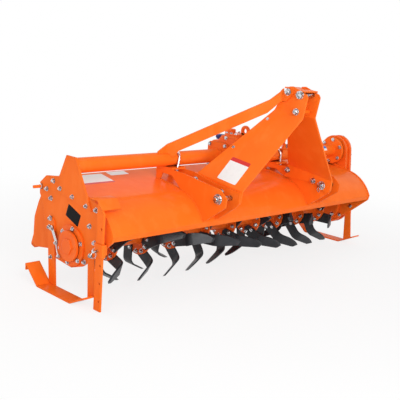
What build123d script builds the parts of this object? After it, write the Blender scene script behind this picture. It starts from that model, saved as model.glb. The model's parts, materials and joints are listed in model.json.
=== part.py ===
"""Rotary tiller (rotavator) for a tractor's three-point hitch, parked on its skids and its stand.

+X runs along the rotor towards the gear-drive end, -Y points to the tractor and +Z is up.
The origin is the bottom centre of the parked machine. Sizes are in millimetres.
Section sketches use (y, z) measured from the rotor axis, which every fore-and-aft size hangs on.
"""

import os
from math import cos, radians, sin, tan

from build123d import *

os.makedirs("parts", exist_ok=True)

# Rotor
tine_reach = 242
floor_gap = 6
flange_count = 9
flange_pitch = 215
flange_r = 105
flange_t = 10
shaft_r = 44.5
journal_r = 30
running_gap = 0.05
blade_t = 8
blade_w = 64
blade_foot_pcd = 88
blade_foot_back = 36
blade_shank = 100
blade_leg = 150
blade_lean = 45
blade_bend = 62
blade_bend_r = 42
blade_root_gap = 8
blades_per_flange = 6
helix_start = -26.5
helix_step = 12.5

# Where the rotor axis lies
rotor_y = 81
rotor_z = tine_reach + floor_gap

# Housing
end_gap = 190
half_width = (flange_count - 1) / 2 * flange_pitch + end_gap
plate_t = 10
sheet_t = 5
deck_z = 255
deck_slope = 9
deck_ridge_y = 205
nose_r = 232
nose_y = -100
nose_turn = 67
lip_drop = 26
lip_back = 8
seat_gap = 0.3

# Frame tube on the left, drive tube on the right, and the tube bracket
tube_y = 5
tube_z = 393
drive_z = 371
tube_r = 38
end_disc_r = 88
end_disc_t = 20
bracket_t = 8

# Hinged tailboard
hinge_y = 281
hinge_z = 243
hinge_rod_r = 8
hinge_rod_stub = 48
knuckle_r = 14
knuckle_len = 70
tailboard_t = 4
tailboard_rib = 24
tailboard_side_gap = 10

# Gearbox in the middle
gearbox_half = 150
casing_half = 92
casing_front = -150
casing_back = 95
casing_top = 522
casing_lid_t = 14
casing_lid_in = 14
casing_rib_t = 10
lifting_eye_r = 26
lifting_eye_hole_r = 13
lifting_eye_t = 14
lifting_eye_y = -112
joint_flange_r = 90
joint_flange_t = 20
input_z = 396
input_boss_r = 58
input_boss_len = 45
input_r = 17.5
input_free = 90
input_seat_r = 22
input_seat_in = 40
input_shoulder = 3

# Side gear case
case_depth = 58
case_top_r = 100
case_low_r = 128
case_rim = 14
case_rim_t = 12
case_cover_t = 8
case_dome_r = 62
case_dome_t = 16

# Hitch
hitch_x = 435
clevis_gap = 80
hitch_plate_t = 9
hitch_pin_y = -407
hitch_pin_z = 256
hitch_pin_r = 14
saddle_t = 10
saddle_half = 62
arm_depth = 27

# Mast
mast_t = 9
head_gap = 96
fold_slope = 7.5
lower_fold = 358
upper_fold = 733
top_pin_y = -524
top_pin_z = 785
top_pin_r = 12.5

clamp_r = 6
brace_t = 9

# Rotor bearings
bearing_r = 102
bearing_t = 11
bearing_ring_t = 28
cap_r = 76
cap_neck_r = 68
cap_neck = 16
cap_depth = 29
cap_hex_r = 42
cap_hex_t = 6
journal_seat = 18

# Skids
skid_w = 80
skid_t = 8
skid_stand_off = 2
skid_rise = 92
skid_lip = 34
skid_tail_y = 284
upright_top_y = 178
upright_foot_y = 152
upright_r = 29
upright_t = 8
upright_top = 104

# Parking stand
leg_w = 50
leg_d = 25
leg_wall = 4
leg_back_of_nose = 56
leg_top = 277
leg_hole_r = 6
leg_hole_in = 13
leg_hole_pitch = 86
socket_wall = 6
socket_low = 14
socket_high = 76
leg_gap = 0.6
foot_len = 112
foot_flat = 50
foot_drop = 42
foot_t = 6

frame_z = {-1: tube_z, 1: drive_z}
plate_face = half_width + plate_t
leg_y = nose_y - nose_r * sin(radians(nose_turn)) + leg_back_of_nose
hitch_in = hitch_x - clevis_gap / 2
hitch_out = hitch_x + clevis_gap / 2
mast_x = hitch_in - hitch_plate_t
head_x = head_gap / 2


def section(x):
    """Plane across the machine at x: its own x is +Y and its own y is +Z, from the rotor axis."""
    return Plane(origin=(x, rotor_y, rotor_z), x_dir=(0, 1, 0), z_dir=(1, 0, 0))


def front(y):
    """Upright plane facing the tractor at y from the rotor axis: its own x is +X, its own y is +Z."""
    return Plane(origin=(0, rotor_y + y, rotor_z), x_dir=(1, 0, 0), z_dir=(0, -1, 0))


def level(z):
    """Level plane at z from the rotor axis: its own x is +X and its own y is +Y."""
    return Plane(origin=(0, rotor_y, rotor_z + z), x_dir=(1, 0, 0), z_dir=(0, 0, 1))


nose_z = deck_z - nose_r
nose_start = 90 + deck_slope
nose_sweep = nose_turn - deck_slope
nose_top_y = nose_y - nose_r * sin(radians(deck_slope))
nose_top_z = nose_z + nose_r * cos(radians(deck_slope))
nose_end_y = nose_y - nose_r * sin(radians(nose_turn))
nose_end_z = nose_z + nose_r * cos(radians(nose_turn))


def deck_at(y):
    """Height of the sloping deck's upper face at y, both from the rotor axis."""
    return nose_top_z + (y - nose_top_y) * tan(radians(deck_slope))


# ---- hood: a deck that rises to a ridge, a round nose and a short lip, turned down at the back ----
with BuildPart() as hood:
    with BuildSketch(section(-half_width)):
        with BuildLine():
            Polyline(
                (hinge_y - knuckle_r - 6, hinge_z - knuckle_r),
                (hinge_y - knuckle_r - 6, hinge_z + knuckle_r + 9),
                (deck_ridge_y, deck_at(deck_ridge_y)),
                (nose_top_y, nose_top_z),
            )
            CenterArc((nose_y, nose_z), nose_r, nose_start, nose_sweep)
            Line((nose_end_y, nose_end_z), (nose_end_y + lip_back, nose_end_z - lip_drop))
            offset(amount=sheet_t, side=Side.LEFT)
        make_face()
    extrude(amount=2 * half_width)
hood.part.label = "hood"
export_step(hood.part, "parts/hood.step")

# ---- side plates ----
plate_edge = 4
plate_r = nose_r + plate_edge
plate_nose_y = nose_y - plate_r * sin(radians(nose_turn))
plate_nose_z = nose_z + plate_r * cos(radians(nose_turn))
for side, name in ((-1, "left"), (1, "right")):
    with BuildPart() as side_plate:
        with BuildSketch(section(side * half_width)):
            with BuildLine():
                plate_nose = CenterArc((nose_y, nose_z), plate_r, nose_start, nose_sweep)
                Polyline(
                    plate_nose @ 1,
                    (plate_nose_y + lip_back, plate_nose_z - lip_drop - plate_edge),
                    (-175, -25),
                    (-91, -83),
                    (0, -112),
                    (133, -100),
                    (228, -27),
                    (262, 154),
                    (297, 205),
                    (297, 262),
                    (243, 305),
                    (120, 322),
                    plate_nose @ 0,
                )
            make_face()
            Circle(journal_r + 6, mode=Mode.SUBTRACT)
            with Locations((hinge_y, hinge_z)):
                Circle(hinge_rod_r + 0.1, mode=Mode.SUBTRACT)
        extrude(amount=side * plate_t)
    side_plate.part.label = f"side_plate_{name}"
    export_step(side_plate.part, f"parts/side_plate_{name}.step")

# ---- triangular bracket that carries the tube's left end, outside the side plate ----
with BuildPart() as tube_bracket:
    with BuildSketch(section(-plate_face)):
        Polygon((62, 436), (-14, 436), (-152, 203), (104, 242), (117, 325), align=None)
    extrude(amount=-bracket_t)
tube_bracket.part.label = "tube_bracket"
export_step(tube_bracket.part, "parts/tube_bracket.step")

# ---- frame tube and drive tube each side of the gearbox, the drive tube with a disc at its end ----
for side, name in ((-1, "main_tube"), (1, "drive_tube")):
    with BuildPart() as tube:
        with BuildSketch(section(side * gearbox_half)):
            with Locations((tube_y, frame_z[side])):
                Circle(tube_r)
        extrude(amount=side * (plate_face - gearbox_half))
        with BuildSketch(section(side * gearbox_half)):
            with Locations((tube_y, frame_z[side])):
                Circle(joint_flange_r)
        extrude(amount=side * joint_flange_t)
        if side > 0:
            with BuildSketch(section(half_width - 2)):
                with Locations((tube_y, drive_z)):
                    Circle(end_disc_r)
            extrude(amount=-end_disc_t)
    tube.part.label = name
    export_step(tube.part, f"parts/{name}.step")

# ---- gearbox: cast casing with bearing housings, a lid, ribs, a lifting eye and the input boss ----
with BuildPart() as gearbox:
    with BuildSketch(section(-casing_half)) as casing_side:
        Polygon(
            (casing_back, deck_at(casing_back)),
            (casing_back, casing_top - 40),
            (casing_back - 46, casing_top),
            (casing_front + 36, casing_top),
            (casing_front, casing_top - 52),
            (casing_front, deck_z + 60),
            (nose_y + 10, deck_at(nose_y + 10)),
            align=None,
        )
    extrude(amount=2 * casing_half)
    fillet(gearbox.edges().filter_by(Axis.X), radius=14)
    for side in (-1, 1):
        with BuildSketch(section(side * gearbox_half)):
            with Locations((tube_y, frame_z[side])):
                Circle(joint_flange_r - 14)
        extrude(amount=-side * gearbox_half)
        with BuildSketch(section(side * gearbox_half)):
            with Locations((tube_y, frame_z[side])):
                Circle(joint_flange_r)
        extrude(amount=-side * joint_flange_t * 0.7)
    lid_mid = (casing_back - 46 + casing_front + 36) / 2
    with BuildSketch(level(casing_top)):
        with Locations((0, lid_mid)):
            RectangleRounded(2 * (casing_half - casing_lid_in), casing_back - casing_front - 96, 18)
    extrude(amount=casing_lid_t)
    with BuildSketch(section(-casing_rib_t / 2)):
        with BuildLine():
            Polyline(
                (casing_back, deck_at(casing_back) + 20),
                (casing_back + 26, deck_at(casing_back) + 20),
                (casing_back + 26, casing_top - 90),
                (casing_back, casing_top - 50),
                close=True,
            )
        make_face()
    extrude(amount=casing_rib_t)
    with BuildSketch(section(-lifting_eye_t / 2)):
        with Locations((lifting_eye_y, casing_top + casing_lid_t + lifting_eye_r - 2)):
            Circle(lifting_eye_r)
        with Locations((lifting_eye_y + 8, casing_top - 20)):
            Rectangle(2 * lifting_eye_r, 10)
        make_hull()
        with Locations((lifting_eye_y, casing_top + casing_lid_t + lifting_eye_r - 2)):
            Circle(lifting_eye_hole_r, mode=Mode.SUBTRACT)
    extrude(amount=lifting_eye_t)
    with BuildSketch(front(casing_front)):
        with Locations((0, input_z)):
            Circle(input_boss_r + 16)
    extrude(amount=input_boss_len / 3)
    with BuildSketch(front(casing_front)):
        with Locations((0, input_z)):
            Circle(input_boss_r)
    extrude(amount=input_boss_len)
    with BuildSketch(front(casing_front + input_seat_in)):
        with Locations((0, input_z)):
            Circle(input_seat_r + running_gap)
    extrude(amount=input_seat_in + input_boss_len, mode=Mode.SUBTRACT)
gearbox.part.label = "gearbox"
export_step(gearbox.part, "parts/gearbox.step")

with BuildPart() as pto_shaft:
    with BuildSketch(front(casing_front + input_seat_in - 1)):
        with Locations((0, input_z)):
            Circle(input_seat_r)
    extrude(amount=input_seat_in + input_boss_len + input_shoulder - 1)
    with BuildSketch(front(casing_front - input_boss_len - input_shoulder)):
        with Locations((0, input_z)):
            Circle(input_r)
    extrude(amount=input_free)
pto_shaft.part.label = "pto_shaft"
export_step(pto_shaft.part, "parts/pto_shaft.step")

# ---- side gear case outside the right plate: cast body, bolting rims and a domed hub cover ----
with BuildPart() as gear_case:
    for start, depth, inset in (
        (0, case_depth, case_rim),
        (0, case_rim_t, 0),
        (case_depth - case_rim_t, case_rim_t + case_cover_t, 0),
    ):
        with BuildSketch(section(plate_face + start)):
            with Locations((tube_y, drive_z)):
                Circle(case_top_r - inset)
            Circle(case_low_r - inset)
            make_hull()
        extrude(amount=depth)
    for y, z, dome_r in ((tube_y, drive_z, case_dome_r * 0.8), (0, 0, case_dome_r)):
        with BuildSketch(section(plate_face + case_depth + case_cover_t)):
            with Locations((y, z)):
                Circle(dome_r)
        extrude(amount=case_dome_t, taper=18)
gear_case.part.label = "gear_case"
export_step(gear_case.part, "parts/gear_case.step")

# ---- rotor bearings: a capped one outside the left plate, an open one inside the right ----
with BuildPart() as bearing_left:
    with BuildSketch(section(-plate_face)):
        Circle(bearing_r)
    extrude(amount=-bearing_t)
    with BuildSketch(section(-plate_face)):
        Circle(cap_neck_r)
    extrude(amount=-cap_neck)
    with BuildSketch(section(-plate_face - cap_neck)):
        Circle(cap_r)
    extrude(amount=-(cap_depth - cap_neck))
    with BuildSketch(section(-plate_face - cap_depth)):
        RegularPolygon(cap_hex_r, 6)
    extrude(amount=-cap_hex_t)
    with BuildSketch(section(-plate_face)):
        Circle(journal_r + running_gap)
    extrude(amount=-(journal_seat + 1), mode=Mode.SUBTRACT)
bearing_left.part.label = "bearing_left"
export_step(bearing_left.part, "parts/bearing_left.step")

with BuildPart() as bearing_right:
    with BuildSketch(section(half_width)):
        Circle(bearing_r)
        Circle(journal_r + running_gap, mode=Mode.SUBTRACT)
    extrude(amount=-bearing_ring_t)
bearing_right.part.label = "bearing_right"
export_step(bearing_right.part, "parts/bearing_right.step")

# ---- hitch: two plates each side of the lower link, a saddle under the tube and its clamp ----
# The front end of each plate, from the hood's lip up to the top edge: (y, z) from the hitch pin.
inner_front = ((73, -124), (-45, -39), (-59, -20), (-63, 36), (107, 50))
outer_front = ((73, -124), (-50, -37), (-55, 8), (-37, 26), (-7, 49))
for side, name in ((-1, "left"), (1, "right")):
    saddle_z = frame_z[side] - tube_r - saddle_t
    for place, inner_x, nose in (
        ("inner", hitch_in - hitch_plate_t, inner_front),
        ("outer", hitch_out, outer_front),
    ):
        with BuildPart() as hitch_plate:
            with BuildSketch(section(side * inner_x)):
                with BuildLine():
                    foot = CenterArc((nose_y, nose_z), nose_r + seat_gap, nose_start, nose_sweep - 3)
                    Polyline(
                        foot @ 1,
                        *[(hitch_pin_y + y, hitch_pin_z + z) for y, z in nose],
                        (nose_top_y, saddle_z - 3),
                        (tube_y - saddle_half, saddle_z),
                        (tube_y + saddle_half, saddle_z),
                        (tube_y + saddle_half, deck_at(tube_y + saddle_half) + seat_gap),
                        (tube_y + 30, deck_at(tube_y + 30) + seat_gap),
                        (tube_y + 14, saddle_z - arm_depth),
                        (tube_y - saddle_half, saddle_z - arm_depth),
                        foot @ 0,
                    )
                make_face()
                with Locations((hitch_pin_y, hitch_pin_z)):
                    Circle(hitch_pin_r + 0.2, mode=Mode.SUBTRACT)
            extrude(amount=side * hitch_plate_t)
        hitch_plate.part.label = f"hitch_plate_{place}_{name}"
        export_step(hitch_plate.part, f"parts/hitch_plate_{place}_{name}.step")

with BuildPart() as hitch_pins:
    for side in (-1, 1):
        pin_start = hitch_in - hitch_plate_t - mast_t - 16
        with BuildSketch(section(side * pin_start)):
            with Locations((hitch_pin_y, hitch_pin_z)):
                Circle(hitch_pin_r)
        extrude(amount=side * (hitch_out + hitch_plate_t - pin_start))
        with BuildSketch(section(side * (hitch_out + hitch_plate_t))):
            with Locations((hitch_pin_y, hitch_pin_z)):
                RegularPolygon(hitch_pin_r * 1.7, 6)
        extrude(amount=side * 14)
hitch_pins.part.label = "hitch_pins"
export_step(hitch_pins.part, "parts/hitch_pins.step")

saddle_len = clevis_gap + 2 * hitch_plate_t
clamp_mid = tube_r + clamp_r + 1
with BuildPart() as tube_saddles:
    for side in (-1, 1):
        with BuildSketch(level(frame_z[side] - tube_r - saddle_t)):
            with Locations((side * hitch_x, tube_y)):
                Rectangle(saddle_len, 2 * saddle_half)
                with GridLocations(0, 2 * clamp_mid, 1, 2):
                    Circle(clamp_r + 0.5, mode=Mode.SUBTRACT)
        extrude(amount=saddle_t - seat_gap)
tube_saddles.part.label = "tube_saddles"
export_step(tube_saddles.part, "parts/tube_saddles.step")

with BuildPart() as tube_clamps:
    for side in (-1, 1):
        clamp_z = frame_z[side]
        clamp_end_z = clamp_z - tube_r - saddle_t - 18
        with BuildLine(section(side * hitch_x)) as clamp_path:
            Line((tube_y - clamp_mid, clamp_end_z), (tube_y - clamp_mid, clamp_z))
            CenterArc((tube_y, clamp_z), clamp_mid, 180, -180)
            Line((tube_y + clamp_mid, clamp_z), (tube_y + clamp_mid, clamp_end_z))
        with BuildSketch(Plane(clamp_path.line @ 0, z_dir=clamp_path.line % 0)):
            Circle(clamp_r)
        sweep(path=clamp_path.line)
tube_clamps.part.label = "tube_clamps"
export_step(tube_clamps.part, "parts/tube_clamps.step")

# ---- mast: one bent plate each side, its outline cut through the bent strip ----
fold = radians(fold_slope)
for side, name in ((-1, "left"), (1, "right")):
    bent_plane = Plane(
        origin=(0, rotor_y, rotor_z),
        x_dir=(side, 0, 0),
        z_dir=(0, -side * cos(fold), -side * sin(fold)),
    )
    with BuildPart() as mast_plate:
        with BuildSketch(bent_plane):
            with BuildLine():
                FilletPolyline(
                    (mast_x, lower_fold - 150),
                    (mast_x, lower_fold),
                    (head_x + mast_t, upper_fold),
                    (head_x + mast_t, upper_fold + 200),
                    radius=14,
                )
                offset(amount=mast_t, side=Side.LEFT)
            make_face()
        extrude(amount=900, both=True)
        with BuildSketch(section(0)):
            Polygon(
                (-128, 262),
                (-150, 338),
                (-362, 693),
                (-421, 799),
                (-449, 822),
                (-470, 824),
                (-560, 790),
                (-569, 775),
                (-552, 676),
                (-474, 298),
                (-466, 236),
                (-440, 215),
                (-370, 262),
                align=None,
            )
        extrude(amount=side * 500, mode=Mode.INTERSECT)
        with BuildSketch(section(0)):
            with Locations((top_pin_y, top_pin_z)):
                Circle(top_pin_r + 0.2)
            with Locations((hitch_pin_y, hitch_pin_z)):
                Circle(hitch_pin_r + 0.2)
        extrude(amount=side * 500, mode=Mode.SUBTRACT)
    mast_plate.part.label = f"mast_plate_{name}"
    export_step(mast_plate.part, f"parts/mast_plate_{name}.step")

with BuildPart() as top_link_pin:
    with BuildSketch(section(-head_x - mast_t - 14)):
        with Locations((top_pin_y, top_pin_z)):
            RegularPolygon(top_pin_r * 1.7, 6)
    extrude(amount=14)
    with BuildSketch(section(-head_x - mast_t)):
        with Locations((top_pin_y, top_pin_z)):
            Circle(top_pin_r)
    extrude(amount=2 * head_x + 2 * mast_t + 22)
top_link_pin.part.label = "top_link_pin"
export_step(top_link_pin.part, "parts/top_link_pin.step")

with BuildPart() as mast_spacers:
    with BuildSketch(section(-head_x)):
        with Locations((-505, 697), (-448, 793)):
            Circle(11)
    extrude(amount=2 * head_x)
mast_spacers.part.label = "mast_spacers"
export_step(mast_spacers.part, "parts/mast_spacers.step")

# ---- braces: flat bars on edge, folded upright at the head and at the tube ----
for side, name in ((-1, "left"), (1, "right")):
    rest_z = frame_z[side] + tube_r
    with BuildPart() as brace:
        with BuildSketch(level(0)):
            with BuildLine():
                FilletPolyline(
                    (side * (head_x + mast_t), -478),
                    (side * (head_x + mast_t), -405),
                    (side * (hitch_x + 45), -4),
                    (side * (hitch_x + 112), -4),
                    radius=16,
                )
                offset(amount=brace_t, side=Side.LEFT if side < 0 else Side.RIGHT)
            make_face()
        extrude(amount=900)
        with BuildSketch(front(0)):
            Polygon(
                (0, 824),
                (side * 50, 824),
                (side * 66, 790),
                (side * 103, 746),
                (side * (hitch_x + 37), rest_z + 51),
                (side * (hitch_x + 112), rest_z + 8),
                (side * (hitch_x + 112), rest_z - 25),
                (side * (hitch_x + 27), rest_z - 25),
                (side * (hitch_x + 5), rest_z + 13),
                (side * 114, 676),
                (side * 68, 738),
                (side * 57, 745),
                (0, 745),
                align=None,
            )
        extrude(amount=600, both=True, mode=Mode.INTERSECT)
        with BuildSketch(section(0)):
            Polygon(
                (200, 0),
                (200, 900),
                (-415, 900),
                (-415, 792),
                (-455, 822),
                (-478, 816),
                (-478, 784),
                (-440, 745),
                (-415, 745),
                (-415, 0),
                align=None,
            )
            with Locations((tube_y, frame_z[side])):
                Circle(tube_r + seat_gap, mode=Mode.SUBTRACT)
        extrude(amount=side * half_width, mode=Mode.INTERSECT)
    brace.part.label = f"brace_{name}"
    export_step(brace.part, f"parts/brace_{name}.step")

# ---- skids: a bent strip with its two uprights, bolted outside the plates ----
skid_in = plate_face + skid_stand_off
skid_tip_y = leg_y + leg_w / 2 + 10
for side, name in ((-1, "left"), (1, "right")):
    with BuildPart() as skid:
        with BuildSketch(section(side * skid_in)):
            with BuildLine():
                FilletPolyline(
                    (skid_tail_y, -rotor_z + skid_rise),
                    (176, -rotor_z),
                    (-112, -rotor_z),
                    (skid_tip_y, -rotor_z + 54),
                    radius=20,
                )
                offset(amount=skid_t, side=Side.RIGHT)
            make_face()
            with Locations((skid_tail_y + 2, -rotor_z + skid_rise + 4)):
                Rectangle(skid_t, skid_lip, align=(Align.MAX, Align.MAX))
        extrude(amount=side * skid_w)
        with BuildSketch(section(side * plate_face)):
            with Locations((upright_top_y, upright_top - upright_r)):
                Circle(upright_r)
            with Locations((upright_foot_y, -rotor_z + skid_t - 1)):
                Rectangle(2 * upright_r, 1, align=(Align.CENTER, Align.MIN))
            make_hull()
        extrude(amount=side * upright_t)
        with BuildSketch(section(side * plate_face)):
            Polygon(
                (-142, -34),
                (-146, 10),
                (-184, 10),
                (-186, -40),
                (skid_tip_y + 18, -rotor_z + 52),
                (-152, -rotor_z + 26),
                align=None,
            )
        extrude(amount=side * upright_t)
    skid.part.label = f"skid_{name}"
    export_step(skid.part, f"parts/skid_{name}.step")

# ---- parking stand: a drilled rectangular leg under a bent foot, held by a socket on the plate ----
leg_out = -plate_face - socket_wall - leg_gap
foot_bend_y = leg_y + leg_w / 2 + 4
with BuildPart() as stand:
    with BuildSketch(level(-rotor_z)):
        with Locations((leg_out - leg_d / 2, leg_y)):
            Rectangle(leg_d, leg_w)
            Rectangle(leg_d - 2 * leg_wall, leg_w - 2 * leg_wall, mode=Mode.SUBTRACT)
    extrude(amount=rotor_z + leg_top)
    with BuildSketch(section(leg_out - leg_d)):
        Polygon(
            (foot_bend_y, leg_top - foot_t / 2),
            (foot_bend_y - foot_drop - leg_w, leg_top - foot_t / 2 - foot_drop - leg_w),
            (foot_bend_y - foot_drop - leg_w, leg_top + foot_t),
            (foot_bend_y, leg_top + foot_t),
            align=None,
        )
    extrude(amount=leg_d, mode=Mode.SUBTRACT)
    with BuildSketch(section(leg_out - leg_d)):
        with BuildLine():
            Polyline(
                (foot_bend_y + foot_flat, leg_top),
                (foot_bend_y, leg_top),
                (foot_bend_y - foot_drop, leg_top - foot_drop),
            )
            offset(amount=foot_t, side=Side.LEFT)
        make_face()
    extrude(amount=foot_len)
    with BuildSketch(section(leg_out - leg_d)):
        with Locations((leg_y - leg_w / 2 + leg_hole_in, -rotor_z + 50)):
            with GridLocations(0, leg_hole_pitch, 1, 5, align=(Align.CENTER, Align.MIN)):
                Circle(leg_hole_r)
    extrude(amount=leg_wall, mode=Mode.SUBTRACT)
stand.part.label = "stand"
export_step(stand.part, "parts/stand.step")

with BuildPart() as stand_socket:
    with BuildSketch(level(socket_low)):
        with Locations((leg_out - leg_d / 2, leg_y)):
            Rectangle(leg_d + 2 * (leg_gap + socket_wall), leg_w + 2 * (leg_gap + socket_wall))
            Rectangle(leg_d + 2 * leg_gap, leg_w + 2 * leg_gap, mode=Mode.SUBTRACT)
    extrude(amount=socket_high - socket_low)
stand_socket.part.label = "stand_socket"
export_step(stand_socket.part, "parts/stand_socket.step")

# ---- tailboard on its hinge rod ----
with BuildPart() as hinge_rod:
    with BuildSketch(section(-plate_face - hinge_rod_stub)):
        with Locations((hinge_y, hinge_z)):
            Circle(hinge_rod_r)
    extrude(amount=2 * (plate_face + hinge_rod_stub))
hinge_rod.part.label = "hinge_rod"
export_step(hinge_rod.part, "parts/hinge_rod.step")

# Outlines of the board, its hem and its end cheeks: (y, z) from the hinge.
board_half = half_width - tailboard_side_gap
board_points = ((8, -8), (57, -93), (92, -178), (98, -276), (122, -338))
board_hem = (84, -347)
rib_points = (*board_points[:-1], (118, -328))
cheek_points = (*rib_points, (84, -340), (-46, -318), (-33, -250), (-38, -183), (-30, -120), (-6, -50))
with BuildPart() as tailboard:
    for points, start, width, depth in (
        ((*board_points, board_hem), -board_half, 2 * board_half, tailboard_t),
        (rib_points, -board_half * 0.46, tailboard_t, tailboard_rib),
        (rib_points, board_half * 0.46, tailboard_t, tailboard_rib),
    ):
        with BuildSketch(section(start)):
            with BuildLine():
                FilletPolyline(*[(hinge_y + y, hinge_z + z) for y, z in points], radius=12)
                offset(amount=depth, side=Side.RIGHT)
            make_face()
        extrude(amount=width)
    for start in (-board_half, board_half - tailboard_t):
        with BuildSketch(section(start)):
            Polygon(*[(hinge_y + y, hinge_z + z) for y, z in cheek_points], align=None)
        extrude(amount=tailboard_t)
    for x in (-0.92, -0.46, 0, 0.46, 0.92):
        with BuildSketch(section(x * board_half - knuckle_len / 2)):
            with Locations((hinge_y, hinge_z)):
                Circle(knuckle_r)
        extrude(amount=knuckle_len)
    with BuildSketch(section(-board_half)):
        with Locations((hinge_y, hinge_z)):
            Circle(hinge_rod_r + 0.4)
    extrude(amount=2 * board_half, mode=Mode.SUBTRACT)
tailboard.part.label = "tailboard"
export_step(tailboard.part, "parts/tailboard.step")

# ---- rotor: a shaft with welded flanges ----
flange_xs = [(row - (flange_count - 1) / 2) * flange_pitch for row in range(flange_count)]
with BuildPart() as rotor_shaft:
    with BuildSketch(section(flange_xs[0] - 70)):
        Circle(shaft_r)
    extrude(amount=flange_xs[-1] - flange_xs[0] + 140)
    with BuildSketch(section(-plate_face - journal_seat)):
        Circle(journal_r)
    extrude(amount=2 * plate_face + journal_seat - 4)
    for x in flange_xs:
        with BuildSketch(section(x - flange_t / 2)):
            Circle(flange_r)
        extrude(amount=flange_t)
rotor_shaft.part.label = "rotor_shaft"
export_step(rotor_shaft.part, "parts/rotor_shaft.step")

# ---- blades: flat bars that lean back from their feet, their legs bent across under the flange ----
lean = radians(blade_lean)
blades = {}
for hand in (-1, 1):
    bar_origin = (-hand * flange_t / 2, 0, blade_foot_pcd)
    bar_dir = (0, sin(lean), cos(lean))
    bar_side = Plane(origin=bar_origin, x_dir=bar_dir, z_dir=(1, 0, 0))
    bar_edge = Plane(origin=bar_origin, x_dir=bar_dir, z_dir=(0, hand * cos(lean), -hand * sin(lean)))
    axis_here = (-blade_foot_pcd * cos(lean), -blade_foot_pcd * sin(lean))
    tip_x = blade_shank + blade_leg * cos(radians(blade_bend))
    with BuildPart() as blade:
        with BuildSketch(bar_edge):
            with BuildLine():
                FilletPolyline(
                    (-2 * blade_w, 0),
                    (blade_shank, 0),
                    (
                        blade_shank + 2 * blade_leg * cos(radians(blade_bend)),
                        2 * blade_leg * sin(radians(blade_bend)),
                    ),
                    radius=blade_bend_r,
                )
                offset(amount=blade_t, side=Side.RIGHT)
            make_face()
        extrude(amount=blade_w, both=True)
        with BuildSketch(bar_side):
            with BuildLine():
                Polyline(
                    (tip_x + 2, blade_w / 2),
                    (-blade_foot_back + 18, blade_w / 2),
                    (-blade_foot_back, blade_w / 5),
                    (-blade_foot_back, -blade_w / 5),
                    (-blade_foot_back + 18, -blade_w / 2),
                    (blade_shank * 0.9, -blade_w / 2),
                )
                ThreePointArc(
                    (blade_shank * 0.9, -blade_w / 2),
                    (tip_x - 14, -blade_w / 8),
                    (tip_x + 2, blade_w / 2),
                )
            make_face()
            with Locations(axis_here):
                Circle(shaft_r + blade_root_gap, mode=Mode.SUBTRACT)
                Circle(tine_reach, mode=Mode.INTERSECT)
        extrude(amount=3 * blade_leg, both=True, mode=Mode.INTERSECT)
    blades[hand] = blade.part

for row, x in enumerate(flange_xs):
    with BuildPart() as tine_set:
        for place in range(blades_per_flange):
            turn = 360 / blades_per_flange * place + helix_step * row + helix_start
            hand = 1 if place % 2 == 0 else -1
            with Locations(Location((x, rotor_y, rotor_z), (turn, 0, 0))):
                add(blades[hand])
    tine_set.part.label = f"tines_{row + 1}"
    export_step(tine_set.part, f"parts/tines_{row + 1}.step")
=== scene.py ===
"""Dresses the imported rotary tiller: paint, plating and blank labels, with every bolt, pin and weld bead.

Places are (x, y, z) in millimetres from the middle of the rotor axis, as a workshop drawing would
give them, and at() turns them into metres of the shared frame.
"""

import json
import math

import bmesh
import bpy
import numpy as np
from mathutils import Matrix, Vector


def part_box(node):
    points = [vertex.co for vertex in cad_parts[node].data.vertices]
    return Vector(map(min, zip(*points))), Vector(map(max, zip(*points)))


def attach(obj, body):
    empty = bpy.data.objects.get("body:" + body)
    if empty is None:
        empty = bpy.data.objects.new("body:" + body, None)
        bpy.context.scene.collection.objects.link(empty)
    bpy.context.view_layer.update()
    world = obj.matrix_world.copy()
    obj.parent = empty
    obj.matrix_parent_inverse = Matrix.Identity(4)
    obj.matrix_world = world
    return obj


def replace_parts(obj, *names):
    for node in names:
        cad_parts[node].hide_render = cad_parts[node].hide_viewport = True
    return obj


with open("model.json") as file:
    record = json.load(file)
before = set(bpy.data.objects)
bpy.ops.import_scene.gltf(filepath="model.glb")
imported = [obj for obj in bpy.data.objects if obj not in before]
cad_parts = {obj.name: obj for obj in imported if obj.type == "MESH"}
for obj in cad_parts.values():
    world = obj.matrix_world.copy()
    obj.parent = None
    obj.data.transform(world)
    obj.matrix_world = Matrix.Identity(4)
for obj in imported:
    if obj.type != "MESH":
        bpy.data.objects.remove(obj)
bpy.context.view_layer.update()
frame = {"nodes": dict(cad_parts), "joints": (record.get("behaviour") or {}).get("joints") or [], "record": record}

joints = {joint["name"]: joint for joint in frame["joints"]}
rotor_axis = np.array(joints["rotor_spin"]["pos_m"])
node_slot = {part["node"]: part["material_slot"] for part in frame["record"]["subparts"]}

RIGHT = np.array([1.0, 0.0, 0.0])
LEFT = -RIGHT
BACK = np.array([0.0, 1.0, 0.0])
FRONT = -BACK
UP = np.array([0.0, 0.0, 1.0])
DOWN = -UP


def at(x, y, z):
    """Millimetres from the middle of the rotor axis become metres of the frame, as whole arrays."""
    drawn = np.stack(np.broadcast_arrays(np.asarray(x, float), y, z), axis=-1)
    return rotor_axis + drawn / 1000


# ---------------- finishes


class Wire:
    """One socket of a finish; sums and products of wires and numbers become Math nodes."""

    def __init__(self, finish, socket):
        self.finish = finish
        self.socket = socket

    def math(self, operation, first, second):
        return self.finish.node("ShaderNodeMath", {"operation": operation}, {0: first, 1: second})

    def __add__(self, other):
        return self.math("ADD", self, other)

    def __sub__(self, other):
        return self.math("SUBTRACT", self, other)

    def __rsub__(self, other):
        return self.math("SUBTRACT", other, self)

    def __mul__(self, other):
        return self.math("MULTIPLY", self, other)

    def __truediv__(self, other):
        return self.math("DIVIDE", self, other)

    def __gt__(self, other):
        return self.math("GREATER_THAN", self, other)

    __radd__ = __add__
    __rmul__ = __mul__


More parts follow.
